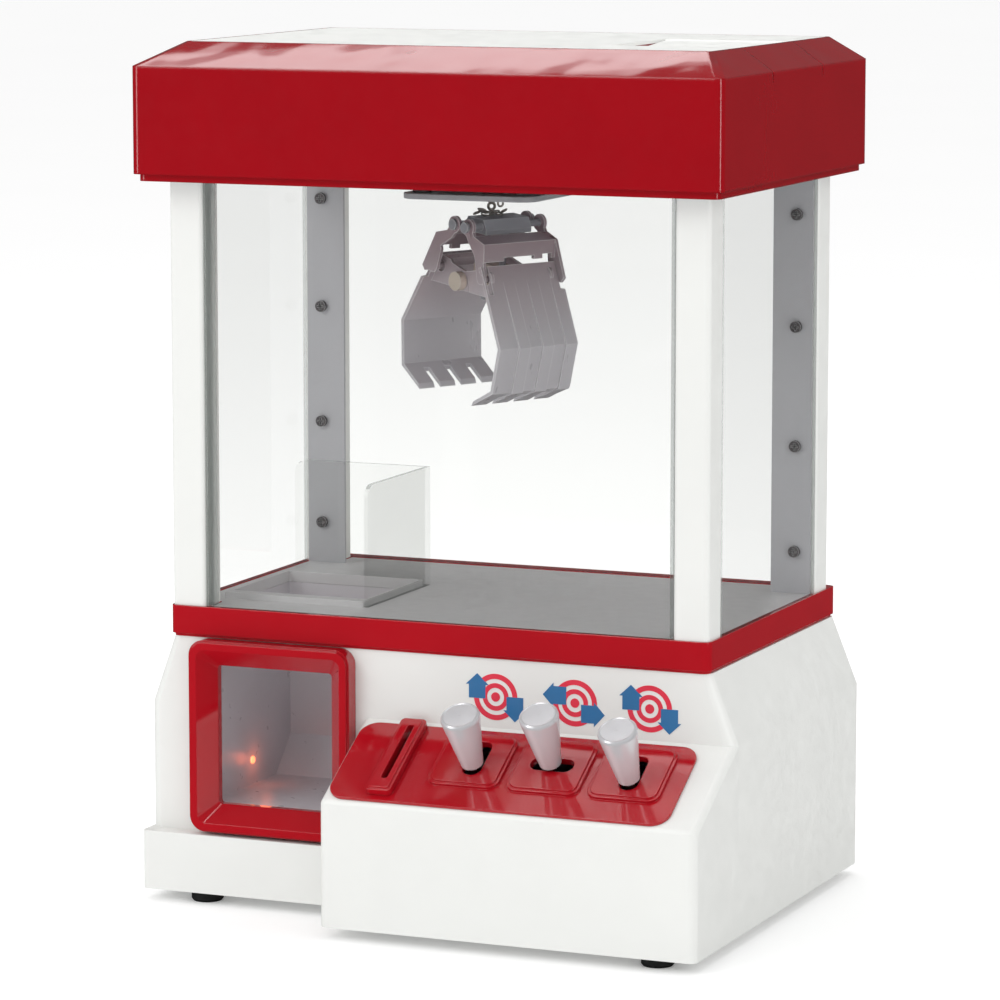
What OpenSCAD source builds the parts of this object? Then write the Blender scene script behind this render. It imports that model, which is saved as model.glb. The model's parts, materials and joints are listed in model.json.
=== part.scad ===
// Table-top claw crane machine.
// X runs to the right, Y to the back and Z up. The origin is on the table, under the middle of the roof.

/* [Cabinet] */
// Overall height, from the table to the top of the roof
total_h = 372; // [371:1:374]
// Half of the width across the base
base_half_w = 135.1; // [134:0.1:136]
// Distance from the origin forward to the console's front face
console_front = 121.5; // [120:0.5:123]
// Distance from the origin back to the rear face of the base
base_rear = 86.3; // [86:0.1:88]
// Wall of the moulded shells
shell_wall = 2.4; // [2:0.1:2.6]
// Height of the rubber feet
foot_h = 5; // [4:0.5:5]
// Radius of the rubber feet
foot_r = 7; // [6:0.5:8]

/* [Chamber] */
// Height of the chamber floor above the table
floor_z = 129.4; // [129:0.1:129.4]
// Side of the square corner posts
post = 15.7; // [15:0.1:15.7]
// Outer face of the posts, measured from the middle
post_out = 123.3; // [123:0.1:123.4]
// Thickness of the clear panes
pane_t = 1.8; // [1.5:0.1:2]
// Height of the divider beside the prize hole
divider_h = 53; // [40:1:60]

/* [Prize hole] */
// Left, right, front and back edges of the hole in the chamber floor
hole_x0 = -110; // [-110:1:-108]
// Right edge of the hole
hole_x1 = -46; // [-48:1:-46]
// Front edge of the hole
hole_y0 = -44; // [-46:1:-42]
// Back edge of the hole
hole_y1 = 13; // [11:1:13]

/* [Joysticks] */
// Positions of the three joysticks across the console
stick_x = [28.5, 62.2, 98.8];
// How far each joystick leans either way, in degrees
stick_lean = 12; // [8:1:12]
// Radius of a joystick handle at its top
stick_r = 8.4; // [7:0.1:9]

/* [Claw] */
// How far the claw has turned on its chain, in degrees clockwise from above
claw_yaw = 26; // [0:1:40]
// How far the claw leans on its chain, in degrees
claw_lean = 7; // [0:1:8]
// Width of a jaw along its hinge
jaw_w = 44.7; // [40:0.1:46]
// Number of teeth on each jaw
jaw_teeth = 4; // [3:1:5]

/* [Gantry] */
// Middle of the trolley, across the cabinet
trolley_x = -6; // [-8:1:-4]
// Diameter of the steel guide rods
rod_d = 4; // [3.8:0.1:4]
// Running clearance around each rod
rod_gap = 0.05; // [0.03:0.01:0.09]
// Gear module of the racks and pinions
gear_m = 1; // [1:0.1:1]

/* [Hidden] */
$fn = 64;

// ---- Derived places ----
base_front = 75.5;
shoulder_z = 86.4;
base_top = 116.2;
base_top_x = 124;
base_top_y = 83.2;
plinth_front = 84.6;
plinth_top = 30.8;
console_left = -33.5;
console_edge_z = 59.3;
slope_a = 30.53;
edge_r = 3.5;
band_x = 124.3;
band_y0 = -77.4;
band_y1 = 83.2;
band_z = 129.7;
roof_z0 = 313.5;
post_in = post_out - post;
post_front_y = -76.4;
post_rear_y = 58.8;
pane_x = 121.5;
pane_y = -75.9;
roof_x = 133.6;
roof_y0 = -91.6;
roof_y1 = 92.5;
bevel_z = 362.3;
top_x = 119.9;
top_y0 = -66;
top_y1 = 82;
panel_z = total_h - 1.4;
lid_x0 = 62;
lid_x1 = 117.6;
lid_y0 = -31;
lid_y = 32;
lid_z = 370.8;
lid_sag = 4.2;
rod_r = rod_d / 2;
bore_r = rod_r + rod_gap;
pitch = PI * gear_m;
pinion_teeth = 12;
pinion_r = gear_m * pinion_teeth / 2;
rail_x = 119;
rail_z = 330;
x_rod_y = 24;
x_rod_z = 326;
drive_y = 38;
drive_z = 328;
x_rack_z = 330;
x_pinion_x = -10 * pitch;
drum_y = 8.5;
drum_z = 335;
stick_s = [25.4, 29.5, 24.1];
stick_pivot = -8;
screw_z = [148, 194.5, 247, 296];
boss = [[-126, 77], [126, 77], [-126, -68], [126, -112]];
foot = [[0, 0], [-109, -74], [114, -108.5], [-109, 72], [109, 72]];
cell_x = [43.3, 78, 112.7];
cell_z = 25.2;

// ---- Shared shapes ----
module rounded_rect(x0, x1, y0, y1, r) {
    translate([x0 + r, y0]) square([x1 - x0 - 2 * r, y1 - y0]);
    translate([x0, y0 + r]) square([x1 - x0, y1 - y0 - 2 * r]);
    for (x = [x0 + r, x1 - r], y = [y0 + r, y1 - r]) translate([x, y]) circle(r);
}

module slab(x0, x1, y0, y1, z0, z1, r) {
    translate([0, 0, z0]) linear_extrude(z1 - z0) rounded_rect(x0, x1, y0, y1, r);
}

module block(x0, x1, y0, y1, z0, z1) {
    translate([x0, y0, z0]) cube([x1 - x0, y1 - y0, z1 - z0]);
}

module both_sides() {
    children();
    mirror([1, 0, 0]) children();
}

module rod_x(x0, x1, y, z, r) {
    translate([x0, y, z]) rotate([0, 90, 0]) cylinder(h = x1 - x0, r = r);
}

module rod_y(x, y0, y1, z, r) {
    translate([x, y1, z]) rotate([90, 0, 0]) cylinder(h = y1 - y0, r = r);
}

module rod_z(x, y, z0, z1, r) {
    translate([x, y, z0]) cylinder(h = z1 - z0, r = r);
}

// A flat bar between two points with round ends, drawn as an outline
module bar_outline(a, b, r) {
    translate(a) circle(r);
    translate(b) circle(r);
    translate(a) rotate(atan2(b[1] - a[1], b[0] - a[0])) translate([0, -r]) square([norm(b - a), 2 * r]);
}

// The console slope: x across, y up the slope from its lower edge, z out of the face
module on_slope() {
    translate([0, -console_front, console_edge_z]) rotate([slope_a, 0, 0]) children();
}

// A crosshead screw that points down, with its head on z = 0
module screw(shank_r, shank_l, head_r) {
    difference() {
        union() {
            cylinder(h = head_r * 0.7, r = head_r);
            translate([0, 0, -shank_l]) cylinder(h = shank_l + 0.01, r = shank_r);
        }
        for (a = [0, 90]) rotate(a) translate([-head_r * 0.6, -head_r * 0.13, head_r * 0.35])
            cube([head_r * 1.2, head_r * 0.26, head_r]);
    }
}

// Involute of the base circle, in degrees, at radius rr
function involute(rb, rr) = let (a = acos(min(1, rb / rr))) tan(a) * 180 / PI - a;

// One side of a gear tooth, from the root to the tip, about the x axis
function flank(n, play) = let (
    r = gear_m * n / 2, rb = r * cos(25), r0 = r - 1.15 * gear_m, r1 = r + 0.85 * gear_m,
    half = 90 / n - play / r * 28.6 + involute(rb, r)
) concat([[r0, half]], [for (i = [0:5]) let (rr = max(rb, r0) + (r1 - max(rb, r0)) * i / 5)
    [rr, half - involute(rb, rr)]]);

function polar(p) = [p[0] * cos(p[1]), p[0] * sin(p[1])];

// Outline of a gear with n teeth, one tooth pointing along +x
module gear_outline(n, play = 0.12) {
    side = flank(n, play);
    last = len(side) - 1;
    polygon([for (t = [0:n - 1]) for (i = [0:2 * last + 1])
        polar(i <= last ? [side[i][0], t * 360 / n - side[i][1]]
            : [side[2 * last + 1 - i][0], t * 360 / n + side[2 * last + 1 - i][1]])]);
}

// Outline of a rack along x with its pitch line on y = 0, and a gap at x = 0
module rack_outline(length, depth, play = 0.12) {
    n = floor(length / pitch / 2);
    half = pitch / 4 - play / 2;
    root = half + 1.15 * gear_m * tan(25);
    tip = half - 0.85 * gear_m * tan(25);
    teeth = [for (i = [-n:n - 1]) for (k = [-root, -tip, tip, root])
        [(i + 0.5) * pitch + k, (abs(k) == root ? -1.15 : 0.85) * gear_m]];
    polygon(concat([[-length / 2, -depth], [-length / 2, -1.15 * gear_m]], teeth,
        [[length / 2, -1.15 * gear_m], [length / 2, -depth]]));
}

// ---- Base ----
module console_block(inset, rear_end) {
    r = max(edge_r - inset, 1);
    k = r + inset;
    rear = -70;
    intersection() {
        hull() for (x = [console_left + k, base_half_w - k]) {
            for (y = [-console_front + k, rear])
                translate([x, y, console_edge_z + (y + console_front) * tan(slope_a) - k / cos(slope_a)])
                    sphere(r, $fn = 24);
            for (y = [-console_front + k, rear]) rod_z(x, y, foot_h - inset, foot_h + 1, r);
        }
        block(-200, 200, -200, rear_end, 0, shoulder_z);
    }
}

module shoulders(inset) {
    hull() {
        slab(-base_half_w + inset, base_half_w - inset, -base_front + inset, base_rear - inset,
            shoulder_z - 0.1, shoulder_z, 5 - inset);
        slab(-base_top_x + inset, base_top_x - inset, -base_front + inset, base_top_y - inset,
            base_top - inset - 0.1, base_top - inset, 4 - inset);
    }
}

module base_shell() {
    color("white") difference() {
        union() {
            difference() {
                union() {
                    slab(-base_half_w, base_half_w, -base_front, base_rear, foot_h, shoulder_z, 5);
                    shoulders(0);
                    slab(-base_half_w, console_left + 6, -plinth_front, -base_front + 5, foot_h, plinth_top, 2);
                    console_block(0, -70.2);
                }
                slab(-base_half_w + shell_wall, base_half_w - shell_wall, -base_front + shell_wall,
                    base_rear - shell_wall, 0, shoulder_z, 5 - shell_wall);
                shoulders(shell_wall);
                slab(-base_half_w + shell_wall, console_left - shell_wall, -plinth_front + shell_wall,
                    -base_front + 1, 0, plinth_top - shell_wall, 1);
                console_block(shell_wall, -base_front + 1);
                block(-128, console_left - 3, -base_front - 2, -base_front + 5, 0, 27);
                block(console_left + 4, 130, -base_front - 2, -base_front + 5, 0, 80);
            }
            // Bosses for the screws that hold the bottom on
            for (p = boss) rod_z(p[0], p[1], foot_h + 2.5, foot_h + 30, 7.3);
        }
        for (p = boss) rod_z(p[0], p[1], 0, 22, 1.35);
        // Doorway for prizes and the well above it
        block(-105, -45, -base_front - 1, -base_front + 4, 40.5, 107.5);
        block(-112.5, -43.5, -46.5, 15.5, 112, 118);
        // Edge of the front wall let in over the bottom plate
        for (x = [[-base_half_w, console_left], [console_left, base_half_w]])
            block(x[0] + shell_wall, x[1] - shell_wall, -base_front - 2, -base_front + 4, 0, foot_h + 2.6);
        // Window in the slope, under the red panel
        on_slope() slab(-24, 116, 7, 45, -8, 4, 3);
        // Coin drawer, power switch and speaker slots in the rear wall
        block(-32.4, 18.4, base_rear - 4, base_rear + 1, foot_h + 2.4, 31.4);
        block(-69.6, -50.4, base_rear - 4, base_rear + 1, 53.4, 66.6);
        for (i = [-3:3]) block(90 - 18 + abs(i) * 2, 90 + 18 - abs(i) * 2,
            base_rear - 4, base_rear + 1, 58 + i * 6, 60 + i * 6);
    }
}

module base_bottom() {
    color("whitesmoke") difference() {
        union() {
            translate([0, 0, foot_h]) linear_extrude(2.4) {
                rounded_rect(-132.5, 132.5, -73, 83.8, 2.5);
                rounded_rect(-132.5, console_left - 2.6, -82, -65, 1.5);
                rounded_rect(console_left + 2.6, 132.5, -118.9, -65, 1.5);
            }
            // Guides for the coin drawer and posts for the circuit board
            for (x = [-34, 18.4]) block(x, x + 1.6, 20, 83, foot_h + 2, 20);
            for (x = [38, 112], y = [40, 62]) rod_z(x, y, foot_h + 2, 60, 3);
        }
        for (p = foot) rod_z(p[0], p[1], 0, 20, 2.6);
        for (p = boss) {
            rod_z(p[0], p[1], 0, 20, 1.4);
            rod_z(p[0], p[1], 0, foot_h + 1.9, 2.7);
        }
        block(26.7, 129.3, -33.3, 29.3, 0, 20);
    }
}

module feet() {
    color("black") for (p = foot) translate([p[0], p[1], 0]) {
        cylinder(h = 1, r1 = foot_r - 0.8, r2 = foot_r);
        translate([0, 0, 1]) cylinder(h = foot_h - 1, r = foot_r);
        cylinder(h = foot_h + 3, r = 2.5);
        translate([0, 0, foot_h + 2.45]) cylinder(h = 1.2, r1 = 3.4, r2 = 2.5);
    }
}

module screws() {
    color("dimgray") {
        for (p = boss) translate([p[0], p[1], foot_h + 1.85]) rotate([180, 0, 0]) screw(1.3, 9, 2.5);
        both_sides() for (z = screw_z) translate([114, post_rear_y - 1.6, z]) rotate([90, 0, 0])
            screw(1.5, 8, 2.6);
    }
}

module trim_band() {
    color("firebrick") {
        difference() {
            union() {
                slab(-band_x, band_x, band_y0, band_y1, base_top + 1.2, band_z, 3.5);
                slab(-band_x + 1, band_x - 1, band_y0 + 1, band_y1 - 1, base_top, base_top + 1.3, 3);
            }
            block(-121.2, 121.2, -74.1, 75, 100, 140);
        }
        both_sides() for (y = [[-74.2, -60.5], [post_rear_y, 75.1]])
            block(post_in, 121.3, y[0], y[1], base_top, band_z);
    }
}

module floor_plate() {
    color("silver") difference() {
        union() {
            block(-121, 121, -73.9, 74.8, floor_z - 2.2, floor_z);
            slab(hole_x0 - 1.1, hole_x1 + 1.1, hole_y0 - 7, hole_y1 + 1.1, floor_z - 1, floor_z + 2.6, 1);
        }
        slab(hole_x0, hole_x1, hole_y0, hole_y1, 100, 140, 1);
        both_sides() for (y = [[-80, -60.3], [post_rear_y - 0.2, 80]])
            block(post_in - 0.2, 130, y[0], y[1], 100, 140);
    }
}

// Outline across the chute: y runs back and z up
module chute_outline(w) {
    polygon([[-72.6 - w, 40.5 + w], [-4 + w, 40.5 + w], [14.5 - w, 56.6 + w], [14.5 - w, 127.1 + w],
        [hole_y0 - 1.5 + w, 127.1 + w], [hole_y0 - 1.5 + w, 109.5 - w], [-72.6 - w, 109.5 - w]]);
}

module prize_chute() {
    color("silver") difference() {
        translate([hole_x0 - 1.5, 0, 0]) rotate([90, 0, 90])
            linear_extrude(hole_x1 - hole_x0 + 3) chute_outline(0);
        translate([hole_x0, 0, 0]) rotate([90, 0, 90]) linear_extrude(hole_x1 - hole_x0) chute_outline(1.5);
        rod_x(hole_x0 - 3, hole_x0 + 1, -26.5, 53, 1.7);
    }
}

module prize_light() {
    color("orangered") {
        rod_x(hole_x0 - 4, hole_x0 + 0.6, -26.5, 53, 1.6);
        rod_x(hole_x0 - 4.5, hole_x0 - 1.6, -26.5, 53, 2.4);
    }
}

module upright_slab(x0, x1, z0, z1, y0, y1, r) {
    translate([0, y1, 0]) rotate([90, 0, 0]) linear_extrude(y1 - y0) rounded_rect(x0, x1, z0, z1, r);
}

module prize_frame() {
    color("firebrick") difference() {
        union() {
            upright_slab(-113, -37, 32, 116, -82.6, -base_front - 0.05, 7);
            upright_slab(-112.2, -37.8, 32.8, 115.2, -84, -82.5, 6.2);
            upright_slab(-104.7, -45.3, 40.8, 107.2, -76, -72.8, 2);
        }
        hull() {
            upright_slab(-109, -41, 36, 112, -84.2, -84, 4);
            upright_slab(-102, -48, 43.6, 104.4, -76.4, -76.2, 1.5);
        }
        upright_slab(-102, -48, 43.6, 104.4, -77, -70, 1.5);
    }
}

module divider() {
    color("lightcyan", 0.4) {
        intersection() {
            block(-44.4, -42.6, -50, 16.8, floor_z, floor_z + divider_h);
            translate([-50, 0, 0]) rotate([90, 0, 90]) linear_extrude(20)
                rounded_rect(-50, 40, floor_z - 20, floor_z + divider_h, 6);
        }
        intersection() {
            block(-108, -43, 15, 16.8, floor_z, floor_z + divider_h);
            upright_slab(-108, 0, floor_z - 20, floor_z + divider_h, 0, 30, 6);
        }
    }
}

// ---- Console ----
lever_slot = [[24.4, 32.6, 20.2, 41], [52.6, 71.8, 26.5, 34.5], [94.7, 102.9, 19, 40]];
pad = [[10.5, 42.5], [46, 78.4], [82, 114]];

module console_panel() {
    color("firebrick") on_slope() difference() {
        union() {
            slab(-31, 121.5, 1.8, 50, 0.05, 1.2, 8);
            for (p = pad) {
                slab(p[0], p[1], 14, 46.5, 1, 2.4, 5);
                slab(p[0] + 1.3, p[1] - 1.3, 15.3, 45.2, 2.3, 3.1, 4);
            }
        }
        for (h = lever_slot) slab(h[0], h[1], h[2], h[3], -1, 5, 3.9);
        slab(-8.6, -5.4, 11, 47, -1, 5, 1.5);
    }
}

module coin_slot_plate() {
    color("firebrick") on_slope() difference() {
        union() {
            slab(-13.3, -1.7, 5, 50.8, 1.2, 4.2, 2);
            slab(-12.1, -2.9, 6.2, 49.6, 4.1, 4.9, 1.4);
        }
        slab(-8.4, -5.6, 12, 46, -1, 6, 1.3);
    }
}

// Printed targets, each with two broad arrows over its edge
ring_x = [27.8, 63.8, 97.3];

// A broad arrow that points up, with its tip on the origin
module arrow_outline() {
    polygon([[0, 0], [5.2, -4.8], [3.8, -4.8], [3.8, -10.6], [-3.8, -10.6], [-3.8, -4.8], [-5.2, -4.8]]);
}

module arrow_pair(i) {
    if (i == 1) {
        translate([-14.5, 2.8]) rotate(90) arrow_outline();
        translate([13.4, -4.3]) rotate(-90) arrow_outline();
    } else {
        translate([-8.4, 9.6]) arrow_outline();
        translate([8.8, -10.2]) rotate(180) arrow_outline();
    }
}

module label_rings() {
    color("crimson") for (i = [0:2]) translate([ring_x[i], -base_front, 99.8]) rotate([90, 0, 0])
        for (r = [[9.9, 7.7], [5.9, 3.9], [2, 0]]) linear_extrude(0.2) difference() {
            circle(r[0]);
            if (r[1] > 0) circle(r[1]);
            arrow_pair(i);
        }
}

module label_arrows() {
    color("steelblue") for (i = [0:2]) translate([ring_x[i], -base_front, 99.8]) rotate([90, 0, 0])
        linear_extrude(0.2) arrow_pair(i);
}

module stick_at(i) {
    on_slope() translate([stick_x[i], stick_s[i], 0]) rotate(i == 1 ? 90 : 0) children();
}

module stick_handle(i) {
    color("silver") stick_at(i) difference() {
        rotate_extrude() polygon([[0, 4.5], [4.2, 4.5], [4.7, 5], [stick_r, 29.8], [stick_r - 0.2, 30.8],
            [stick_r - 0.9, 31.4], [stick_r - 1.5, 31.2], [0, 31.3]]);
        translate([0, 0, -1]) cylinder(h = 21, r = 2.25);
    }
}

module stick_lever(i) {
    color("gray") stick_at(i) difference() {
        union() {
            translate([0, 0, -20]) cylinder(h = 39.8, r = 2.2);
            translate([-4, 0, stick_pivot]) rotate([0, 90, 0]) cylinder(h = 8, r = 4);
        }
        translate([-6, 0, stick_pivot]) rotate([0, 90, 0]) cylinder(h = 12, r = 1.56);
    }
}

module stick_bracket() {
    color("dimgray") {
        on_slope() difference() {
            slab(3, 115.4, 8, 44.4, -2.4, 0, 2);
            for (h = lever_slot) slab(h[0] - 0.6, h[1] + 0.6, h[2] - 0.6, h[3] + 0.6, -9, 5, 3.9);
        }
        for (i = [0:2]) stick_at(i) {
            for (x = [-8.8, 7]) translate([x, -4.5, stick_pivot - 4]) cube([1.8, 9, 4 - stick_pivot - 2]);
            translate([-8.8, 0, stick_pivot]) rotate([0, 90, 0]) cylinder(h = 17.6, r = 1.5);
        }
    }
}

// ---- Inside the base ----
module coin_chute() {
    color("lightgray") difference() {
        translate([-13.2, 0, 0]) rotate([90, 0, 90]) linear_extrude(12.4)
            polygon([[-113, 58.5], [-79, 78.5], [-79, 58], [42, 46], [42, 32.2], [-113, 44]]);
        translate([-12, 0, 0]) rotate([90, 0, 90]) linear_extrude(10)
            polygon([[-111.8, 60.5], [-80.2, 79.5], [-80.2, 56.9], [43, 44.7], [43, 33.4], [-111.8, 45.3]]);
    }
}

module coin_drawer() {
    color("white") difference() {
        block(-32.2, 18.2, 28, base_rear, 7.6, 31);
        block(-30.6, 16.6, 29.6, base_rear - 2.2, 9.2, 32);
        // Finger hollow in the front of the drawer
        slab(-17, 3, base_rear - 1.2, base_rear + 4, 13, 25, 1);
    }
}

module battery_holder() {
    color("dimgray") difference() {
        block(25.6, 130.4, -34, 30, foot_h + 2.4, 44);
        for (x = cell_x) {
            rod_y(x, -32.4, 28.4, cell_z, 16.9);
            block(x - 16.9, x + 16.9, -32.4, 28.4, 0, cell_z);
        }
    }
}

module batteries() {
    color("goldenrod") for (x = cell_x) {
        rod_y(x, -31.6, 26.4, cell_z, 16.5);
        rod_y(x, 26.3, 28, cell_z, 4.7);
    }
}

module battery_door() {
    color("whitesmoke") difference() {
        union() {
            block(27, 129, -33, 29, foot_h, foot_h + 2.4);
            for (x = cell_x) block(x - 2, x + 2, -20, 16, foot_h + 2.3, 8.6);
        }
        for (i = [0:3]) block(68, 88, 14 + i * 3, 15 + i * 3, foot_h - 1, foot_h + 0.8);
    }
}

module circuit_board() {
    color("green") {
        block(33, 117, 36, 66, 60, 61.6);
        block(45, 70, 44, 58, 61.5, 65);
        for (x = [80, 90, 100]) rod_z(x, 52, 61.5, 70, 3.4);
    }
}

module speaker() {
    color("dimgray") {
        rod_y(90, 80.4, 83.8, 59, 25);
        rod_y(90, 74, 80.5, 59, 19);
        rod_y(90, 68, 74.1, 59, 12);
    }
}

module switch_housing() {
    color("black") difference() {
        block(-69.4, -50.6, 70, base_rear, 53.6, 66.4);
        block(-67, -53, 74, 90, 55, 65);
        rod_x(-68.4, -51.6, 81, 60, 1.06);
    }
}

module switch_rocker() {
    color("darkred") {
        block(-66.6, -53.4, 81, base_rear - 0.8, 56.2, 63.8);
        rod_x(-66.6, -53.4, 81, 60, 3.8);
        rod_x(-68.2, -51.8, 81, 60, 1);
    }
}

// ---- Chamber ----
module posts() {
    color("white") both_sides() for (y = [post_front_y, post_rear_y]) difference() {
        slab(post_in, post_out, y, y + 16, band_z, 314, 2);
        if (y > 0) for (z = screw_z) rod_y(114, y - 1, y + 10, z, 1.55);
    }
}

module post_liners() {
    color("darkgray") both_sides() difference() {
        block(103, 121.2, post_rear_y - 1.5, post_rear_y - 0.1, floor_z, 313.4);
        for (z = screw_z) rod_y(114, 50, 70, z, 1.6);
    }
}

module front_pane() {
    color("lightcyan", 0.3) {
        block(-post_in + 0.2, post_in - 0.2, pane_y, pane_y + pane_t, band_z, roof_z0);
        both_sides() block(post_in - 2.2, post_in - 0.3, pane_y + 1, -68, band_z, roof_z0);
    }
}

module side_panes() {
    color("lightcyan", 0.3) both_sides()
        block(pane_x, pane_x + pane_t, post_front_y + 16.2, post_rear_y - 1.7, band_z, roof_z0);
}

module rear_pane() {
    color("lightcyan", 0.3) block(-120, 120, 75.2, 75.2 + pane_t, band_z, roof_z0);
}

// ---- Roof ----
module roof_bevel(inset) {
    hull() {
        slab(-roof_x + inset, roof_x - inset, roof_y0 + inset, roof_y1 - inset,
            bevel_z - 0.1 - inset / 2, bevel_z - inset / 2, 3.5 - inset);
        slab(-top_x + inset, top_x - inset, top_y0 + inset, top_y1 - inset,
            total_h - 0.1 - inset * 1.6, total_h - inset * 1.6, 2);
    }
}

module roof_shell() {
    w = 2.2;
    color("firebrick") difference() {
        union() {
            difference() {
                union() {
                    slab(-roof_x, roof_x, roof_y0, roof_y1, roof_z0 + 3, bevel_z, 3.5);
                    slab(-roof_x + 2.2, roof_x - 2.2, roof_y0 + 2.2, roof_y1 - 1.6, roof_z0, roof_z0 + 3.1, 3);
                    roof_bevel(0);
                }
                slab(-roof_x + w, roof_x - w, roof_y0 + w, roof_y1 - w, roof_z0 + 3.5, bevel_z - w / 2, 1.3);
                slab(-roof_x + 2 * w, roof_x - 2 * w, roof_y0 + 2 * w, roof_y1 - 2 * w + 0.6,
                    roof_z0 - 1, roof_z0 + 4, 1.3);
                roof_bevel(w);
            }
            // Walls of the loading hatch
            block(lid_x0 - 2, top_x - 0.6, lid_y0 - 2, lid_y + 3.6, 358, panel_z);
        }
        block(-118.6, 118.6, -65.1, 81.1, panel_z, total_h + 1);
        block(lid_x0 - 0.4, 118, lid_y0 - 0.4, lid_y + 1.6, 350, total_h + 1);
        rod_x(lid_x0 - 1.8, top_x - 0.6, lid_y, lid_z, 0.66);
        // Seams of the inserted section beside the hatch
        for (y = [lid_y0, lid_y]) block(118.6, 140, y - 0.2, y + 0.2, 358, total_h + 1);
    }
}

module roof_panel() {
    color("white") difference() {
        slab(-118.5, 118.5, -65, 81, panel_z, total_h, 2);
        block(lid_x0 - 0.4, 120, lid_y0 - 0.4, lid_y + 1.6, 360, 380);
        rod_x(lid_x0 - 1.8, 119, lid_y, lid_z, 0.66);
    }
}

module hatch_lid() {
    color("white") {
        translate([0, lid_y, lid_z]) rotate([lid_sag, 0, 0]) {
            block(lid_x0, lid_x1, lid_y0 - lid_y, 0, -0.7, 0.7);
            rod_x(lid_x0, lid_x1, 0, 0, 1.1);
        }
        rod_x(lid_x0 - 1.4, lid_x1 + 1.2, lid_y, lid_z, 0.6);
    }
}

module roof_frame() {
    color("gray") difference() {
        union() {
            slab(-128.9, 128.9, -87, 88.5, 314, 317, 3);
            for (x = [-rail_x, rail_x]) {
                block(x - 4, x + 4, -86, -80, 316, rail_z + 4);
                block(x - 4, x + 4, 81, 87, 316, rail_z + 4);
            }
        }
        slab(-100, 100, -68, 70, 300, 320, 4);
        for (x = [-rail_x, rail_x]) rod_y(x, -84, 86, rail_z, rod_r + 0.01);
    }
}

// ---- Gantry ----
module y_rails() {
    color("lightsteelblue") for (x = [-rail_x, rail_x]) rod_y(x, -83.8, 85.8, rail_z, rod_r);
}

module y_racks() {
    color("ivory") for (x = [-109, 109]) translate([x - 2, drive_y - 12 * pitch, rail_z - 8])
        rotate([90, 0, 90]) linear_extrude(4) rack_outline(52 * pitch, 5);
}

module bridge_ends() {
    color("dimgray") {
        both_sides() difference() {
            block(113, 125, -38, 50, 319, 336);
            rod_y(rail_x, -60, 60, rail_z, bore_r);
            for (y = [-x_rod_y, x_rod_y]) rod_x(112, 115.6, y, x_rod_z, rod_r + 0.01);
            rod_x(112, 116.2, drive_y, drive_z, 1.56);
        }
        block(96, 113.1, 46, 49, 324, 334);
    }
}

module x_rods() {
    color("lightsteelblue") for (y = [-x_rod_y, x_rod_y]) rod_x(-115.5, 115.5, y, x_rod_z, rod_r);
}

module x_rack() {
    color("ivory") translate([0, -31, x_rack_z]) rotate([90, 0, 0]) linear_extrude(4) rack_outline(226, 5);
}

module y_motor() {
    color("slategray") difference() {
        union() {
            block(84, 104, 31, 45.9, 320, 336);
            rod_x(62, 84.1, drive_y, drive_z, 7.4);
        }
        rod_x(60, 110, drive_y, drive_z, 1.6);
    }
}

module pinion_x(x) {
    translate([x, 0, 0]) rotate([90, 0, 90]) rotate(-90) linear_extrude(4) gear_outline(pinion_teeth);
}

module y_drive_shaft() {
    color("ivory") translate([0, drive_y, drive_z]) {
        rod_x(-116, 116, 0, 0, 1.5);
        for (x = [-111, 107]) pinion_x(x);
    }
}

module at_trolley() {
    translate([trolley_x, 0, 0]) children();
}

module trolley() {
    color("gray") at_trolley() difference() {
        union() {
            block(-42, 42, -29, 29, 318.5, 321);
            for (x = [-42, 38]) block(x, x + 4, -29, 29, 318.5, 344);
            for (x = [-24, 24], y = [-20, 20]) rod_z(x, y, 307, 319, 4);
        }
        for (y = [-x_rod_y, x_rod_y]) rod_x(-50, 50, y, x_rod_z, bore_r);
        rod_x(-50, 0, drum_y, drum_z, 1.56);
        slab(-5, 9, -4, 4, 300, 330, 3.9);
    }
}

module trolley_cover() {
    color("darkgray") at_trolley() difference() {
        slab(-31, 31, -30, 30, 304.5, 307, 8);
        slab(-3.5, 7.5, -3.5, 3.5, 300, 310, 3.4);
    }
}

module trolley_motors() {
    color("slategray") difference() {
        union() {
            // Motor of the cross travel, and the winch motor beside the drum
            rod_y(x_pinion_x, -29.5, -7, x_rack_z + pinion_r, 8);
            block(x_pinion_x - 6, x_pinion_x + 6, -20, -8, 321, x_rack_z);
            at_trolley() rod_x(14, 38, drum_y, drum_z, 8);
            at_trolley() block(20, 34, drum_y - 6, drum_y + 6, 321, drum_z);
        }
        rod_y(x_pinion_x, -40, -12, x_rack_z + pinion_r, 1.56);
        at_trolley() rod_x(0, 30, drum_y, drum_z, 1.56);
    }
}

module x_pinion() {
    color("ivory") translate([x_pinion_x, 0, x_rack_z + pinion_r]) {
        translate([0, -30.9, 0]) rotate([90, 0, 0]) rotate(-90) linear_extrude(4.2) gear_outline(pinion_teeth);
        translate([0, -13, 0]) rotate([90, 0, 0]) cylinder(h = 20, r = 1.5);
    }
}

module winch_drum() {
    color("ivory") at_trolley() {
        rod_x(-44, 28, drum_y, drum_z, 1.5);
        rod_x(-7, 11, drum_y, drum_z, 4.6);
        for (x = [-8.4, 11]) rod_x(x, x + 1.4, drum_y, drum_z, 8.2);
        for (i = [0:8]) translate([-6 + i * 2, drum_y, drum_z]) rotate([0, 90, 0])
            rotate_extrude() translate([5.4, 0]) circle(0.9, $fn = 24);
    }
}

// ---- Chain ----
chain_wire = 0.45;
chain_pitch = 2.7;

module chain_link() {
    for (z = [-0.7, 0.7]) translate([0, 0, z]) rotate([90, 0, 0]) rotate(z > 0 ? 0 : 180)
        rotate_extrude(angle = 180) translate([1.15, 0]) circle(chain_wire, $fn = 16);
    for (x = [-1.15, 1.15]) rod_z(x, 0, -0.7, 0.7, chain_wire);
}

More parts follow.
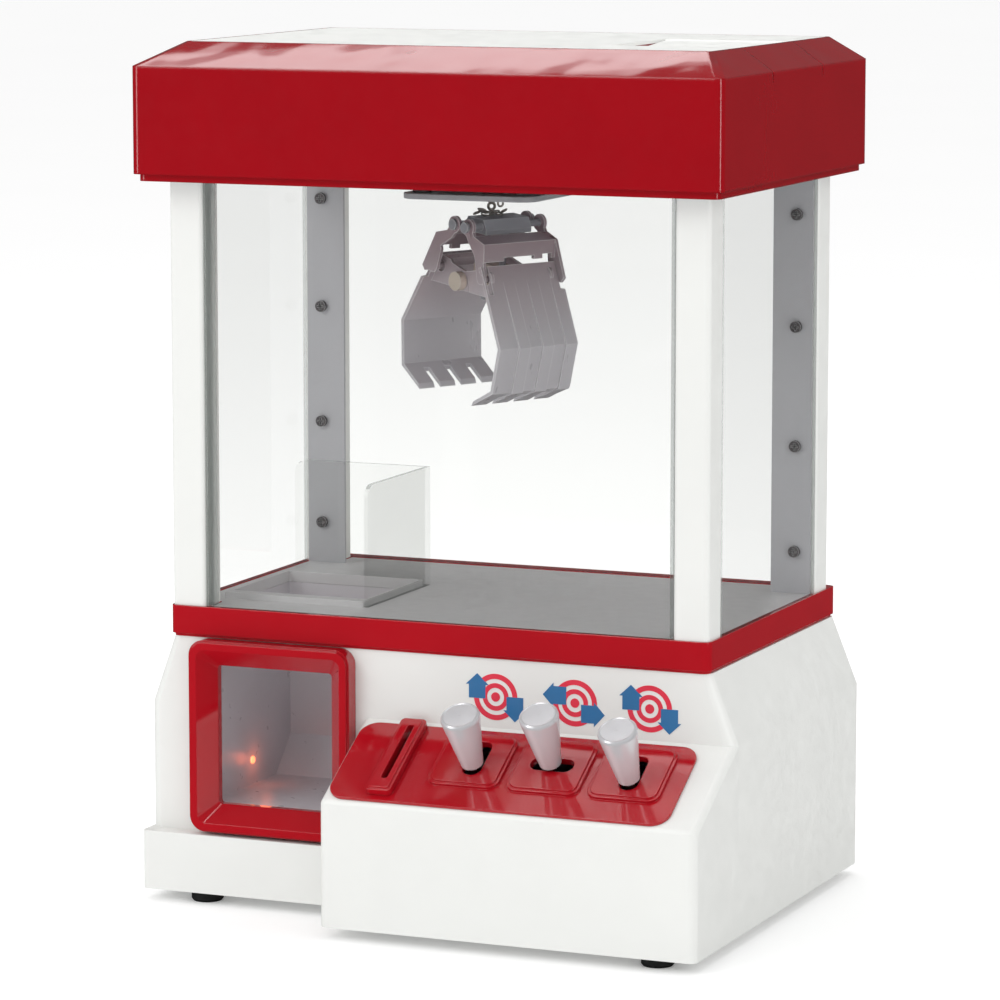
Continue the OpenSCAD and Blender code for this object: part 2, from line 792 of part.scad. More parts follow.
module chain(n) {
    for (i = [0:n - 1]) translate([0, 0, i * chain_pitch]) rotate(45 + i * 90) chain_link();
}

module chain_lower() {
    color("gray") at_trolley() {
        translate([0, 0, 303.2]) chain(17);
        // Swivel that carries the claw
        translate([0, 0, 300.1]) rotate([90, 0, 45]) rotate_extrude() translate([1.5, 0])
            circle(0.6, $fn = 24);
        rod_z(0, 0, 293.4, 298.2, 1.1);
        rod_z(0, 0, 292.2, 293.5, 2);
    }
}

module chain_upper() {
    color("gray") at_trolley() translate([4.2, 0, 302]) chain(17);
}

// ---- Claw ----
// x runs to the claw's right, y along its hinges and z up
module claw_frame() {
    translate([trolley_x, 0, 245.75]) rotate(-claw_yaw) translate([-1.55, 0, 0]) rotate([0, claw_lean, 0])
        children();
}

module claw_plate(y0, y1) {
    translate([0, y1, 0]) rotate([90, 0, 0]) linear_extrude(y1 - y0) children();
}

claw_pivot = [0, 23.4];
arm_pivot = [3.9, 47.5];
link_pin = [15.8, 27];

module claw_hub() {
    color("dimgray") difference() {
        claw_frame() union() {
            claw_plate(-13, 13) polygon([[-7.4, 44.4], [7.4, 44.4], [7.4, 46.4], [5, 50.6], [-5, 50.6], [-7.4, 46.4]]);
            for (s = [-1, 1]) {
                rod_y(s * arm_pivot[0], -22.2, 22.2, arm_pivot[1], 1.5);
                rod_z(s * 5, 0, 13, 44.6, 1.5);
                for (y = [[-22.8, -21.7], [21.7, 22.8]]) rod_y(s * arm_pivot[0], y[0], y[1], arm_pivot[1], 2.4);
            }
        }
        // Vertical hole for the swivel, with room for its head
        rod_z(trolley_x, 0, 280, 300, 1.16);
        rod_z(trolley_x, 0, 284, 293.7, 2.2);
    }
}

module claw_weight() {
    color("silver") claw_frame() difference() {
        union() {
            claw_plate(-5, 5) rounded_rect(-8, 8, 17, 30, 2);
            rod_y(0, -19, 19, claw_pivot[1], 2);
            for (y = [[-22.2, -18.7], [18.7, 22.2]]) rod_y(0, y[0], y[1], claw_pivot[1], 4.1);
        }
        for (s = [-5, 5]) rod_z(s, 0, 10, 40, 1.56);
    }
}

// The right-hand arm; the left-hand one is the same part turned round
module claw_arm() {
    difference() {
        union() {
            // Rear cheek, which laps outside the jaw, and the narrower front cheek
            claw_plate(20.1, 21.6) {
                translate(arm_pivot) circle(3.7);
                polygon([[4.6, 50.4], [8.2, 44.4], [15.4, 42.2], [22.8, 26.4], [21, 24.2], [17.4, 25],
                    [13, 36], [5, 41.4], [2.2, 45.2]]);
                bar_outline([14, 35], link_pin, 2.7);
            }
            claw_plate(-20.6, -19.1) {
                translate(arm_pivot) circle(3.7);
                polygon([[4.6, 50.4], [8.2, 44.4], [15.4, 42.2], [15.9, 35.7], [11.5, 34], [5, 41.4], [2.2, 45.2]]);
                bar_outline([12.3, 36.6], [link_pin[0] - 0.9, link_pin[1] + 0.2], 2.6);
            }
            // Folded top plate with a slit along the fold
            difference() {
                claw_plate(-20.6, 21.6) polygon([[8.2, 44.4], [15.4, 42.2], [16, 34.4], [14.4, 34.4],
                    [14, 41], [8, 42.9]]);
                claw_plate(-9, 8) polygon([[10, 30], [20, 30], [20, 36], [10, 36]]);
                claw_plate(13, 18) polygon([[10, 30], [20, 30], [20, 36.4], [10, 36.4]]);
            }
            rod_y(link_pin[0], -19.2, -16.6, link_pin[1], 1.5);
            rod_y(link_pin[0], 15, 20.2, link_pin[1], 1.5);
        }
        rod_y(arm_pivot[0], -30, 30, arm_pivot[1], 1.56);
    }
}

module claw_arm_right() {
    color("darkgray") claw_frame() claw_arm();
}

module claw_arm_left() {
    color("darkgray") claw_frame() rotate(180) claw_arm();
}

jaw_out = [[16.3, 32.8], [33.1, 0], [30.4, -20], [17.3, -27.9]];
jaw_in = [[18.4, -25.6], [28.9, -19], [31.4, -0.2], [14.9, 32]];

// A strip of the jaw's bent plate between two places along the hinge
module jaw_strip(y0, y1, raise) {
    claw_plate(y0, y1) difference() {
        polygon(concat([for (p = jaw_out) p], jaw_in));
    }
    if (raise > 0) claw_plate(y0, y1) polygon([[19.6, 26.4], [33.1 + raise, 0], [30.4 + raise * 0.7, -20.6],
        [20, -26.3], [20.6, -25.2], [29.8, -19.4], [32.3, 0], [19, 26]]);
}

module claw_jaw() {
    half = jaw_w / 2;
    gap = 3.2;
    tooth = (jaw_w - (jaw_teeth - 1) * gap) / jaw_teeth;
    difference() {
        union() {
            jaw_strip(-half, half, 0);
            for (y = [-11.85, 1.55, 14.95]) jaw_strip(y, y + 6.4, 0.9);
            // Lugs that turn on the centre pin
            for (y = [[-18.5, -17], [15.4, 16.9]]) claw_plate(y[0], y[1]) {
                bar_outline(claw_pivot, link_pin, 4);
                polygon([[0, 19.4], [21.6, 19.4], [15.4, 31.8], [10, 31]]);
            }
        }
        for (i = [1:jaw_teeth - 1]) let (y = -half + i * (tooth + gap) - gap)
            block(0, 26, y, y + gap, -32, -15);
        // Room beside the arm's two cheeks
        block(0, 30, 19.7, 30, 21.5, 40);
        block(8, 30, -21.2, -18.6, 21.5, 40);
        rod_y(link_pin[0], -30, 30, link_pin[1], 2.65);
        rod_y(0, -30, 30, claw_pivot[1], 2.06);
        block(-5, 8, -30, 30, claw_pivot[1] - 12, claw_pivot[1] - 4.05);
    }
}

module claw_jaw_right() {
    color("silver") claw_frame() claw_jaw();
}

module claw_jaw_left() {
    color("silver") claw_frame() rotate(180) claw_jaw();
}

// ---- Drawing ----
base_shell();
base_bottom();
feet();
screws();
trim_band();
floor_plate();
prize_chute();
prize_frame();
prize_light();
divider();
console_panel();
coin_slot_plate();
label_rings();
label_arrows();
coin_chute();
coin_drawer();
battery_holder();
batteries();
battery_door();
circuit_board();
speaker();
switch_housing();
switch_rocker();
stick_bracket();
stick_handle(0);  // stick_1_handle
stick_handle(1);  // stick_2_handle
stick_handle(2);  // stick_3_handle
stick_lever(0);  // stick_1_lever
stick_lever(1);  // stick_2_lever
stick_lever(2);  // stick_3_lever
posts();
post_liners();
front_pane();
side_panes();
rear_pane();
roof_shell();
roof_panel();
hatch_lid();
roof_frame();
y_rails();
y_racks();
bridge_ends();
x_rods();
x_rack();
y_motor();
y_drive_shaft();
trolley();
trolley_cover();
trolley_motors();
x_pinion();
winch_drum();
chain_upper();
chain_lower();
claw_hub();
claw_weight();
claw_arm_left();
claw_arm_right();
claw_jaw_left();
claw_jaw_right();
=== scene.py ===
"""Looks for the claw crane machine. Lengths are in metres: X right, Y back, Z up."""
import json
import math

import bpy
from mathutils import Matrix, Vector


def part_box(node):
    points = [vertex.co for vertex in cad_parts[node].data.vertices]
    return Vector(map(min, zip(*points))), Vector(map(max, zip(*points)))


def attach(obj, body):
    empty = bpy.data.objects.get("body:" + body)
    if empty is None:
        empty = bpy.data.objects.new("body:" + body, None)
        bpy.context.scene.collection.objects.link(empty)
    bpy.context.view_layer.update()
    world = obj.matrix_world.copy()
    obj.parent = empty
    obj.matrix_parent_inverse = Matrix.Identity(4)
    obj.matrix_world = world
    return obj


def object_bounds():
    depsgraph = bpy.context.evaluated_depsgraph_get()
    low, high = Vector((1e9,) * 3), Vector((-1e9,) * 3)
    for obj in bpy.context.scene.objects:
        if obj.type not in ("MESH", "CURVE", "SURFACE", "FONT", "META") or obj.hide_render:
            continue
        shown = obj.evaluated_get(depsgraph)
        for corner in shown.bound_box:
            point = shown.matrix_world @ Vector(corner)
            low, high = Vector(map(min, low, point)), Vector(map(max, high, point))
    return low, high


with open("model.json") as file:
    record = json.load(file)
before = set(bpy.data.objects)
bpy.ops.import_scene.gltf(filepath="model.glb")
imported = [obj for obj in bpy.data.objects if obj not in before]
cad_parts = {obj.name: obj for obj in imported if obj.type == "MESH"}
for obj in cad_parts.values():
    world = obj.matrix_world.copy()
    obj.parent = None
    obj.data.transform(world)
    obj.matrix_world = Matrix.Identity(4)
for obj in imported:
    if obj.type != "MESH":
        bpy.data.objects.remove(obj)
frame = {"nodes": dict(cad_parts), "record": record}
CAD_LOW, CAD_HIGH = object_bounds()
NODES = frame["nodes"]
JOINTS = frame["record"]["behaviour"]["joints"]
MM = 0.001

# How far the test for sharp edges reaches, and the painted highlight colour that sharp edges lighten to
EDGE_RADIUS = 0.6 * MM
EDGE_HIGHLIGHT_COLOUR = (0.86, 0.86, 0.87, 1)
# How far a moulding's gloss sheets wave where they stand upright and where they face up
UPRIGHT_RELIEF, UPWARD_RELIEF = 0.0, 0.85

# The camera that matches the photograph's viewing angle
VIEW_AZIMUTH, VIEW_DOWN, VIEW_DISTANCE = 22.84, 8.22, 2.016
VIEW_LENS, VIEW_SENSOR = 167.8, 36
VIEW_SHIFT = (0.0045, 0, -0.0117)

# Studio: how bright the surroundings are, to the eye and in gloss
WORLD_LIGHT, WORLD_IN_GLOSS = 0.9, 0.1
FLOOR_SIZE, FLOOR_GLOW = 80, 0.14
LENS_GLOW, LENS_GLOW_COLOUR = 0.0015, (1, 0.18, 0.08)

# Soft boxes seen only in gloss, aimed at the roof's front edge: place, width, height, power
GLOSS_BOXES = {
    "roof_box": ((-0.52, 0.71, 1.12), 0.5, 0.13, 0.4),
    "left_box": ((-1.1, -1.3, 0.5), 0.3, 1.2, 4.5),
    "over_box": ((-0.42, -0.25, 1.4), 0.9, 0.3, 4),
    "right_box": ((1.3, -0.64, 0.15), 0.25, 1.4, 5),
}


# ---- Materials ----
def srgb(r, g, b):
    """A linear colour from 0-255 values."""
    def lin(v):
        v /= 255
        return v / 12.92 if v <= 0.04045 else ((v + 0.055) / 1.055) ** 2.4
    return (lin(r), lin(g), lin(b), 1)


class Graph:
    """A material's node tree with short ways to add and join nodes."""

    def __init__(self, name):
        self.mat = bpy.data.materials.new(name)
        self.mat.use_nodes = True
        self.tree = self.mat.node_tree
        self.bsdf = self.tree.nodes["Principled BSDF"]
        self.out = self.tree.nodes["Material Output"]
        self.coords = self.add("ShaderNodeTexCoord")

    def add(self, kind, **values):
        """Adds a node. Each value sets a property of that name, or else the input of that name."""
        node = self.tree.nodes.new(kind)
        for key, value in values.items():
            if hasattr(node, key):
                setattr(node, key, value)
            else:
                node.inputs[key].default_value = value
        return node

    def link(self, a, b):
        self.tree.links.new(a, b)

    def noise(self, scale, detail=2, stretch=(1, 1, 1)):
        mapping = self.add("ShaderNodeMapping")
        mapping.inputs["Scale"].default_value = stretch
        self.link(self.coords.outputs["Object"], mapping.inputs["Vector"])
        tex = self.add("ShaderNodeTexNoise")
        tex.inputs["Scale"].default_value = scale
        tex.inputs["Detail"].default_value = detail
        self.link(mapping.outputs["Vector"], tex.inputs["Vector"])
        return tex.outputs["Fac"]

    def span(self, value, low, high, start=0.3, end=0.7):
        """Maps value from start..end to low..high."""
        m = self.add("ShaderNodeMapRange")
        m.inputs["From Min"].default_value = start
        m.inputs["From Max"].default_value = end
        m.inputs["To Min"].default_value = low
        m.inputs["To Max"].default_value = high
        self.link(value, m.inputs["Value"])
        return m.outputs["Result"]

    def part_of(self, vector, axis):
        """One of a vector's three numbers."""
        split = self.add("ShaderNodeSeparateXYZ")
        self.link(vector, split.inputs[0])
        return split.outputs["XYZ".index(axis)]

    def maths(self, operation, *values):
        m = self.add("ShaderNodeMath", operation=operation)
        for socket, value in zip(m.inputs, values):
            if isinstance(value, (int, float)):
                socket.default_value = value
            else:
                self.link(value, socket)
        return m.outputs[0]

    def mix_shaders(self, fac, a, b):
        m = self.add("ShaderNodeMixShader")
        if isinstance(fac, float):
            m.inputs[0].default_value = fac
        else:
            self.link(fac, m.inputs[0])
        self.link(a, m.inputs[1])
        self.link(b, m.inputs[2])
        return m.outputs[0]

    def mix(self, fac, a, b):
        m = self.add("ShaderNodeMix", data_type="RGBA")
        for socket, value in ((m.inputs[6], a), (m.inputs[7], b)):
            if isinstance(value, tuple):
                socket.default_value = value
            else:
                self.link(value, socket)
        if isinstance(fac, float):
            m.inputs[0].default_value = fac
        else:
            self.link(fac, m.inputs[0])
        return m.outputs[2]

    def bump(self, height, strength, distance):
        """Adds relief to the surface and returns its node."""
        b = self.add("ShaderNodeBump")
        b.inputs["Strength"].default_value = strength
        b.inputs["Distance"].default_value = distance
        self.link(height, b.inputs["Height"])
        self.link(b.outputs["Normal"], self.bsdf.inputs["Normal"])
        return b


def surface(name, colour, rough, metal=0.0, coat=0.0, drift=0.06, wave=0.0, grain=0.0, rough_drift=0.25,
            stretch=(1, 1, 1), flake=0.0, edge=0.0, top_shade=None, soft=0.0):
    """A moulded, painted or metal surface whose colour, gloss and relief vary slightly.

    edge lightens sharp edges with a painted highlight; top_shade is (colour, lowest Z, highest Z) of painted
    shade and painted reflection that grow with height.
    soft is how far, in mm, the gloss rolls round an edge.
    """
    g = Graph(name)
    b = g.bsdf
    dark = tuple(c * (1 - drift) for c in colour[:3]) + (1,)
    light = tuple(min(1, c * (1 + drift)) for c in colour[:3]) + (1,)
    tone = g.mix(g.span(g.noise(35, 3, stretch), 0.0, 1.0), dark, light)
    if flake:
        speck = g.span(g.noise(5200, 0), 0.0, 1.0)
        tone = g.mix(speck, tone, tuple(min(1, c * (1 + flake)) for c in colour[:3]) + (1,))
    if top_shade:
        # Painted shade and painted reflection: this colour grows towards the top
        shade_colour, lowest, highest = top_shade
        height = g.span(g.part_of(g.coords.outputs["Object"], "Z"), 0.0, 0.75, lowest, highest)
        tone = g.mix(height, tone, shade_colour)
    if edge:
        # Painted highlight: where a rounded normal turns away from the true one there is a sharp edge, and it
        # is lightened
        rounded = g.add("ShaderNodeBevel", samples=6)
        rounded.inputs["Radius"].default_value = EDGE_RADIUS
        geo = g.add("ShaderNodeNewGeometry")
        turn = g.add("ShaderNodeVectorMath", operation="DOT_PRODUCT")
        g.link(rounded.outputs[0], turn.inputs[0])
        g.link(geo.outputs["True Normal"], turn.inputs[1])
        tone = g.mix(g.span(turn.outputs["Value"], 0.0, edge, 0.992, 0.88), tone, EDGE_HIGHLIGHT_COLOUR)
    g.link(tone, b.inputs["Base Color"])
    g.link(g.span(g.noise(160, 3, stretch), rough * (1 - rough_drift), rough * (1 + rough_drift)),
           b.inputs["Roughness"])
    b.inputs["Metallic"].default_value = metal
    b.inputs["Coat Weight"].default_value = coat
    b.inputs["Coat Roughness"].default_value = 0.04
    if wave:
        # Moulded gloss sheets sag more where they face up than on their upright sides
        relief = g.bump(g.noise(34, 1), UPWARD_RELIEF, wave)
        geo = g.add("ShaderNodeNewGeometry")
        upward = g.part_of(geo.outputs["True Normal"], "Z")
        g.link(g.span(upward, UPRIGHT_RELIEF, UPWARD_RELIEF, 0.15, 0.6), relief.inputs["Strength"])
        if soft:
            roll = g.add("ShaderNodeBevel", samples=8)
            roll.inputs["Radius"].default_value = soft * MM
            g.link(roll.outputs[0], relief.inputs["Normal"])
    elif grain:
        g.bump(g.noise(1500, 2, stretch), 0.5, grain)
    return g.mat


def clear_sheet(name, edges):
    """Clear acrylic: it passes light, and its cut edges (normals along the named axes) look grey."""
    g = Graph(name)
    g.tree.nodes.remove(g.bsdf)
    geo = g.add("ShaderNodeNewGeometry")
    across = 0.0
    for axis in edges:
        size = g.maths("ABSOLUTE", g.part_of(geo.outputs["Normal"], axis))
        across = g.maths("MAXIMUM", across, size)
    is_face = g.maths("LESS_THAN", across, 0.7)
    see = g.add("ShaderNodeBsdfTransparent", Color=(0.982, 0.984, 0.98, 1))
    gloss = g.add("ShaderNodeBsdfGlossy", Color=(0.9, 0.92, 0.92, 1))
    g.link(g.span(g.noise(12, 2), 0.012, 0.03), gloss.inputs["Roughness"])
    # Only the side that faces the eye reflects, so light that leaves the sheet isn't trapped in it
    fresnel = g.add("ShaderNodeFresnel", IOR=1.4)
    outside = g.maths("SUBTRACT", 1, geo.outputs["Backfacing"])
    sheet = g.mix_shaders(g.maths("MULTIPLY", fresnel.outputs[0], outside), see.outputs[0], gloss.outputs[0])
    edge_see = g.add("ShaderNodeBsdfTransparent", Color=(0.80, 0.82, 0.81, 1))
    edge_grey = g.add("ShaderNodeBsdfDiffuse", Color=(0.55, 0.57, 0.56, 1))
    edge = g.mix_shaders(0.35, edge_see.outputs[0], edge_grey.outputs[0])
    g.link(g.mix_shaders(is_face, edge, sheet), g.out.inputs["Surface"])
    return g.mat


def glowing(name, colour, power):
    """A lit lens: brighter in its middle than at its rim."""
    g = Graph(name)
    facing = g.add("ShaderNodeLayerWeight", Blend=0.4)
    g.link(g.mix(facing.outputs["Facing"], (1.0, 0.35, 0.16, 1), colour), g.bsdf.inputs["Emission Color"])
    g.link(g.mix(g.span(g.noise(900, 1), 0.0, 1.0), colour, tuple(c * 0.8 for c in colour[:3]) + (1,)),
           g.bsdf.inputs["Base Color"])
    g.bsdf.inputs["Emission Strength"].default_value = power
    g.bsdf.inputs["Roughness"].default_value = 0.2
    return g.mat


def board_material():
    """Green circuit board with paler copper tracks under the lacquer."""
    g = Graph("board")
    bricks = g.add("ShaderNodeTexBrick")
    bricks.inputs["Scale"].default_value = 160
    bricks.inputs["Mortar Size"].default_value = 0.03
    bricks.inputs["Color1"].default_value = srgb(16, 84, 44)
    bricks.inputs["Color2"].default_value = srgb(20, 96, 52)
    bricks.inputs["Mortar"].default_value = srgb(70, 140, 80)
    g.link(g.coords.outputs["Object"], bricks.inputs["Vector"])
    g.link(bricks.outputs["Color"], g.bsdf.inputs["Base Color"])
    g.bsdf.inputs["Roughness"].default_value = 0.35
    return g.mat


def cell_material():
    """A dry cell's printed sleeve: a copper-coloured end above a black body."""
    g = Graph("cell")
    low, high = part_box("batteries")
    copper_end = low.y + (high.y - low.y) * 0.7
    is_copper = g.maths("GREATER_THAN", g.part_of(g.coords.outputs["Object"], "Y"), copper_end)
    g.link(g.mix(is_copper, srgb(24, 24, 26), srgb(190, 120, 50)), g.bsdf.inputs["Base Color"])
    g.bsdf.inputs["Metallic"].default_value = 0.6
    g.link(g.span(g.noise(200, 2), 0.25, 0.4), g.bsdf.inputs["Roughness"])
    return g.mat


RED = surface("red_gloss", srgb(153, 10, 22), 0.08, coat=0.5, drift=0.03, wave=0.0012, soft=1.6)
RED_LOW = surface("red_gloss_base", srgb(172, 15, 28), 0.08, coat=0.5, drift=0.03, wave=0.0008, soft=0.7)
WHITE = surface("white_moulded", srgb(231, 232, 229), 0.4, drift=0.012)
WHITE_PANEL = surface("white_panel", srgb(240, 241, 238), 0.5, drift=0.01)
RUBBER = surface("black_rubber", srgb(26, 26, 27), 0.7, drift=0.2, grain=0.00003)
STEEL = surface("drawn_steel", srgb(176, 176, 180), 0.28, metal=1.0, drift=0.08, grain=0.00001,
                stretch=(1, 1, 0.1))
SCREW = surface("screw_steel", srgb(96, 92, 94), 0.4, metal=0.4, drift=0.15, edge=0.5)
CHAIN = surface("chain_nickel", srgb(162, 155, 148), 0.3, metal=0.5, drift=0.25)
# Painted reflection: a pale warm colour on a half-metal stands in for the pin's bright chrome shine
CHROME = surface("chrome", srgb(240, 226, 212), 0.18, metal=0.5, drift=0.04, edge=0.5)
SILVER = surface("silver_lacquer", srgb(206, 205, 206), 0.4, metal=0.12, drift=0.02, flake=0.04)
SILVER_STRIP = surface("silver_strip", srgb(186, 186, 190), 0.45, metal=0.1, drift=0.03, flake=0.05)
# Painted shade and a painted reflection of the red roof: the jaws are painted darker and redder towards their
# tops
JAW_LOW, JAW_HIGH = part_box("claw_jaw_right")
CLAW = surface("claw_silver", srgb(198, 195, 200), 0.3, metal=0.2, coat=0.3, drift=0.035, flake=0.06,
               rough_drift=0.1, stretch=(1, 1, 0.25), edge=0.8,
               top_shade=(srgb(150, 122, 128), JAW_LOW.z + 30 * MM, JAW_HIGH.z + 10 * MM))
HUB = surface("hub_grey", srgb(152, 152, 158), 0.36, metal=0.1, coat=0.2, drift=0.06, edge=0.5)
HANDLE = surface("handle_silver", srgb(212, 212, 215), 0.24, metal=0.35, drift=0.015, rough_drift=0.06)
GREY = surface("grey_moulded", srgb(112, 113, 117), 0.5, drift=0.05, grain=0.00001)
COVER = surface("cover_grey", srgb(164, 165, 170), 0.42, drift=0.03, grain=0.00001)
DARK = surface("dark_moulded", srgb(56, 57, 61), 0.42, drift=0.08, grain=0.00001)
BLACK = surface("black_moulded", srgb(20, 20, 22), 0.45, drift=0.1, grain=0.00001)
IVORY = surface("ivory_acetal", srgb(226, 219, 196), 0.4, drift=0.04, grain=0.00001)
MOTOR = surface("motor_can", srgb(150, 150, 152), 0.35, metal=0.9, drift=0.1, stretch=(1, 0.1, 1))
RING_RED = surface("print_red", srgb(226, 44, 70), 0.38, drift=0.05, grain=0.000004)
ARROW_BLUE = surface("print_blue", srgb(44, 112, 166), 0.38, drift=0.05, grain=0.000004)
GLOW = glowing("lit_lens", (1.0, 0.16, 0.05, 1), 2.2)
BOARD = board_material()
CELL = cell_material()
PANE_Y = clear_sheet("clear_pane_front", "XZ")
PANE_X = clear_sheet("clear_pane_side", "YZ")
DIVIDER = clear_sheet("clear_divider", "Z")
CHUTE = surface("chute_silver", srgb(208, 205, 209), 0.36, metal=0.08, drift=0.03, flake=0.04)

LOOKS = {
    "base_shell": WHITE, "base_bottom": WHITE, "feet": RUBBER, "screws": SCREW, "trim_band": RED_LOW,
    "floor_plate": SILVER, "prize_chute": CHUTE, "prize_frame": RED_LOW, "prize_light": GLOW,
    "console_panel": RED_LOW, "coin_slot_plate": RED_LOW, "label_rings": RING_RED, "label_arrows": ARROW_BLUE,
    "coin_chute": GREY, "coin_drawer": WHITE, "battery_holder": BLACK, "batteries": CELL,
    "battery_door": WHITE, "circuit_board": BOARD, "speaker": BLACK, "switch_housing": BLACK,
    "switch_rocker": RED, "stick_bracket": BLACK, "posts": WHITE, "post_liners": SILVER_STRIP,
    "front_pane": PANE_Y, "side_panes": PANE_X, "rear_pane": PANE_Y, "divider": DIVIDER,
    "roof_shell": RED, "roof_panel": WHITE_PANEL, "hatch_lid": WHITE_PANEL, "roof_frame": COVER,
    "y_rails": STEEL, "y_racks": IVORY, "bridge_ends": DARK, "x_rods": STEEL, "x_rack": IVORY,
    "y_motor": MOTOR, "y_drive_shaft": IVORY, "trolley": GREY, "trolley_cover": COVER,
    "trolley_motors": MOTOR, "x_pinion": IVORY, "winch_drum": IVORY, "chain_upper": CHAIN,
    "chain_lower": CHAIN, "claw_hub": HUB, "claw_weight": CHROME, "claw_arm_left": CLAW,
    "claw_arm_right": CLAW, "claw_jaw_left": CLAW, "claw_jaw_right": CLAW,
}
for i in (1, 2, 3):
    LOOKS[f"stick_{i}_handle"] = HANDLE
    LOOKS[f"stick_{i}_lever"] = STEEL

# Rounding asked for on moulded edges, in mm. Very short edges in a mesh hold it back.
ROUNDED = {
    "base_shell": 0.8, "trim_band": 1.4, "prize_frame": 1.2, "console_panel": 0.6, "coin_slot_plate": 0.5,
    "roof_shell": 1.8, "roof_panel": 0.3, "hatch_lid": 0.3, "floor_plate": 0.5, "prize_chute": 0.9,
    "posts": 0.5, "claw_jaw_left": 0.25, "claw_jaw_right": 0.25, "claw_arm_left": 0.3,
    "claw_arm_right": 0.3, "claw_hub": 0.3, "claw_weight": 0.3, "coin_drawer": 0.5,
    "trolley_cover": 0.4, "switch_rocker": 0.3,
}


def dress(node, material):
    """Gives a CAD node its material, and welds and rounds its edges with modifiers."""
    obj = NODES[node]
    obj.data.materials.clear()
    obj.data.materials.append(material)
    if node in ROUNDED:
        # One face per flat side first, so that thin triangles don't hold the rounding back
        weld = obj.modifiers.new("weld", "WELD")
        weld.merge_threshold = 0.000002
        flat = obj.modifiers.new("flat", "DECIMATE")
        flat.decimate_type = "DISSOLVE"
        flat.angle_limit = math.radians(0.4)
        bevel = obj.modifiers.new("edge", "BEVEL")
        bevel.width = ROUNDED[node] * MM
        bevel.segments = 3
        bevel.limit_method = "ANGLE"
        bevel.angle_limit = math.radians(24)
        bevel.use_clamp_overlap = True
        obj.modifiers.new("normals", "WEIGHTED_NORMAL").keep_sharp = False


for node, material in LOOKS.items():
    dress(node, material)


# ---- Added details ----
def wire_link(name, middle, along, across, body):
    """An oval chain link of bent wire, as a ring with two straight sides."""
    length, width, wire, steps = 4.4 * MM, 2.7 * MM, 0.7 * MM, 28
    curve = bpy.data.curves.new(name, "CURVE")
    curve.dimensions = "3D"
    curve.bevel_depth = wire / 2
    curve.bevel_resolution = 3
    line = curve.splines.new("POLY")
    line.use_cyclic_u = True
    line.points.add(steps - 1)
    straight, radius = (length - width) / 2, width / 2
    for i in range(steps):
        turn = 2 * math.pi * i / steps
        shift = straight if math.cos(turn) > 0 else -straight
        point = middle + along * (shift + math.cos(turn) * radius) + across * (math.sin(turn) * radius)
        line.points[i].co = (*point, 1)
    obj = bpy.data.objects.new(name, curve)
    bpy.context.scene.collection.objects.link(obj)
    curve.materials.append(CHAIN)
    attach(obj, body)


def build_loose_chain():
    """The spare end of the hoist chain, gathered on top of the claw's hub."""
    eye = next(Vector(joint["pos_m"]) for joint in JOINTS if joint["child"] == "claw")
    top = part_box("claw_hub")[1].z + 0.6 * MM
    for i in range(8):
        angle = 2.2 + i * 0.62
        reach = (4.2 + 1.1 * (i % 3)) * MM
        outward = Vector((math.cos(angle), math.sin(angle), 0))
        middle = Vector((eye.x, eye.y, top + 0.9 * MM * (i % 2))) + outward * reach
        lean = 0.5 if i % 2 else -0.35
        along = Vector((-outward.y, outward.x, 0.25 * lean)).normalized()
        flat = (outward + Vector((0, 0, lean))).normalized()
        across = along.cross(flat).cross(along).normalized()
        wire_link(f"loose_link_{i}", middle, along, across, "claw")


build_loose_chain()


# ---- Stage, light and camera ----
def lamp(name, place, aim, width, height, power, gloss_only=False):
    """An area light. gloss_only lights show just as reflections, as a soft box does in glossy plastic."""
    data = bpy.data.lights.new(name, "AREA")
    data.shape = "RECTANGLE"
    data.size, data.size_y = width, height
    data.energy = power
    obj = bpy.data.objects.new(name, data)
    bpy.context.scene.collection.objects.link(obj)
    obj.location = place
    obj.rotation_euler = (Vector(aim) - Vector(place)).to_track_quat("-Z", "Y").to_euler()
    if gloss_only:
        obj.visible_diffuse = False
        obj.visible_transmission = False
        obj.visible_camera = False


def build_floor():
    """A pale floor that looks dark in gloss, as it would away from the lights."""
    bpy.ops.mesh.primitive_plane_add(size=FLOOR_SIZE, location=(0, 0, CAD_LOW.z))
    floor = bpy.context.object
    floor.name = "floor"
    g = Graph("floor_white")
    g.link(g.mix(g.noise(3, 2), (0.93, 0.93, 0.93, 1), (0.95, 0.95, 0.95, 1)), g.bsdf.inputs["Base Color"])
    g.bsdf.inputs["Roughness"].default_value = 0.9
    g.bsdf.inputs["Specular IOR Level"].default_value = 0.1
    g.bsdf.inputs["Emission Color"].default_value = (1, 1, 1, 1)
    g.bsdf.inputs["Emission Strength"].default_value = FLOOR_GLOW
    dim = g.add("ShaderNodeBsdfDiffuse", Color=(0.05, 0.05, 0.05, 1))
    in_gloss = g.add("ShaderNodeLightPath").outputs["Is Glossy Ray"]
    g.link(g.mix_shaders(in_gloss, g.bsdf.outputs[0], dim.outputs[0]), g.out.inputs["Surface"])
    floor.data.materials.append(g.mat)


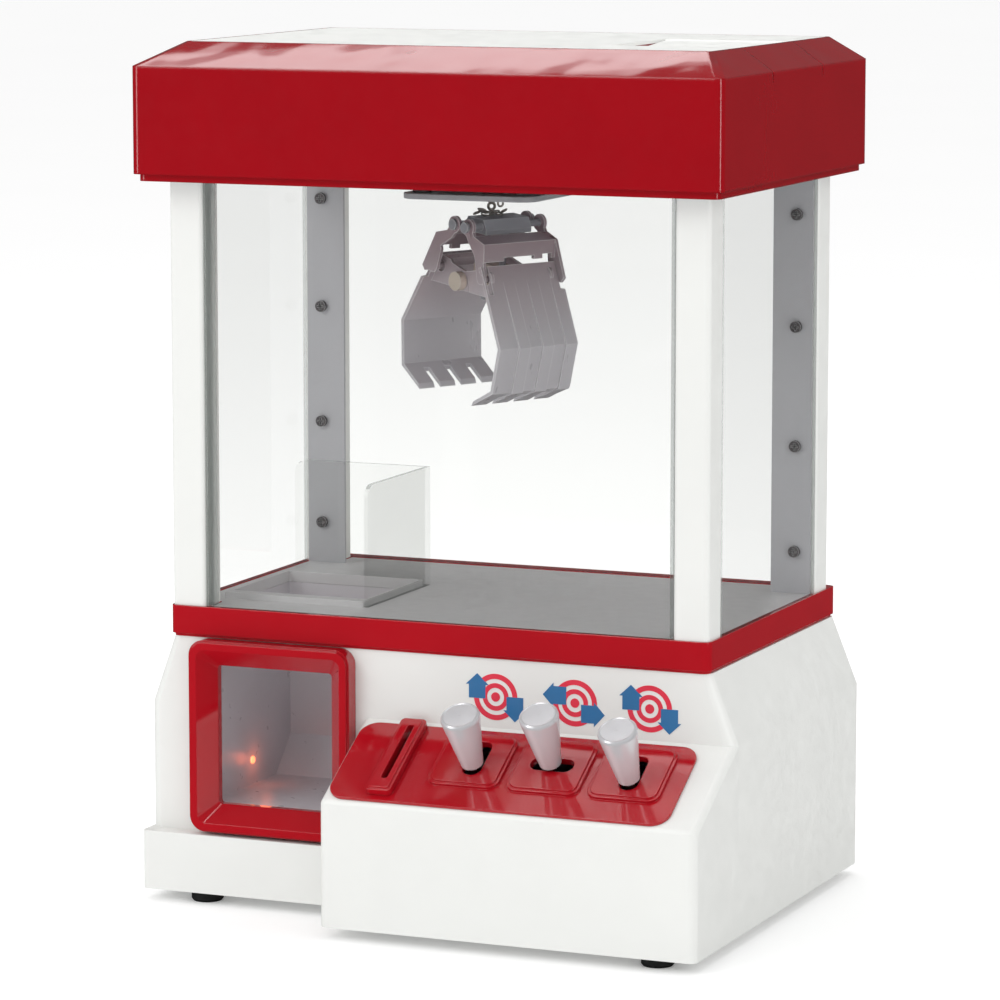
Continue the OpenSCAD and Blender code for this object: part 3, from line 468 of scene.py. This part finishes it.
def build_world():
    """White surroundings that look dimmer in gloss than they light the scene."""
    world = bpy.data.worlds.new("studio")
    bpy.context.scene.world = world
    world.use_nodes = True
    tree = world.node_tree
    sky = tree.nodes["Background"]
    sky.inputs[0].default_value = (1, 1, 1, 1)
    path = tree.nodes.new("ShaderNodeLightPath")
    level = tree.nodes.new("ShaderNodeMapRange")
    level.inputs["To Min"].default_value = WORLD_LIGHT
    level.inputs["To Max"].default_value = WORLD_IN_GLOSS
    tree.links.new(path.outputs["Is Glossy Ray"], level.inputs["Value"])
    tree.links.new(level.outputs["Result"], sky.inputs[1])


def build_lights():
    middle = (CAD_LOW + CAD_HIGH) / 2
    lamp("key", middle + Vector((-1.3, -2.0, 1.5)), middle, 1.2, 1.2, 14)
    lamp("fill", middle + Vector((2.2, -1.2, 0.8)), middle, 1.0, 1.6, 3)
    lamp("top", middle + Vector((0, 0.2, 1.9)), middle, 1.6, 1.2, 9)
    roof_edge = (0, -0.08, CAD_HIGH.z)
    for name, (place, width, height, power) in GLOSS_BOXES.items():
        lamp(name, place, roof_edge, width, height, power, gloss_only=True)
    # The lit lens glows on the walls round it
    low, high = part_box("prize_light")
    data = bpy.data.lights.new("lens_glow", "POINT")
    data.energy, data.color, data.shadow_soft_size = LENS_GLOW, LENS_GLOW_COLOUR, 3 * MM
    glow = bpy.data.objects.new("lens_glow", data)
    bpy.context.scene.collection.objects.link(glow)
    glow.location = (high.x + 6 * MM, (low.y + high.y) / 2, (low.z + high.z) / 2)


def build_camera():
    azimuth, down = math.radians(VIEW_AZIMUTH), math.radians(VIEW_DOWN)
    aim = (CAD_LOW + CAD_HIGH) / 2 + Vector(VIEW_SHIFT)
    ahead = Vector((-math.sin(azimuth) * math.cos(down), math.cos(azimuth) * math.cos(down), -math.sin(down)))
    data = bpy.data.cameras.new("camera")
    data.lens, data.sensor_width = VIEW_LENS, VIEW_SENSOR
    data.clip_end = 200
    cam = bpy.data.objects.new("camera", data)
    bpy.context.scene.collection.objects.link(cam)
    cam.location = aim - ahead * VIEW_DISTANCE
    cam.rotation_euler = ahead.to_track_quat("-Z", "Y").to_euler()
    bpy.context.scene.camera = cam


build_floor()
build_world()
build_lights()
build_camera()
bpy.context.scene.view_settings.view_transform = "Standard"
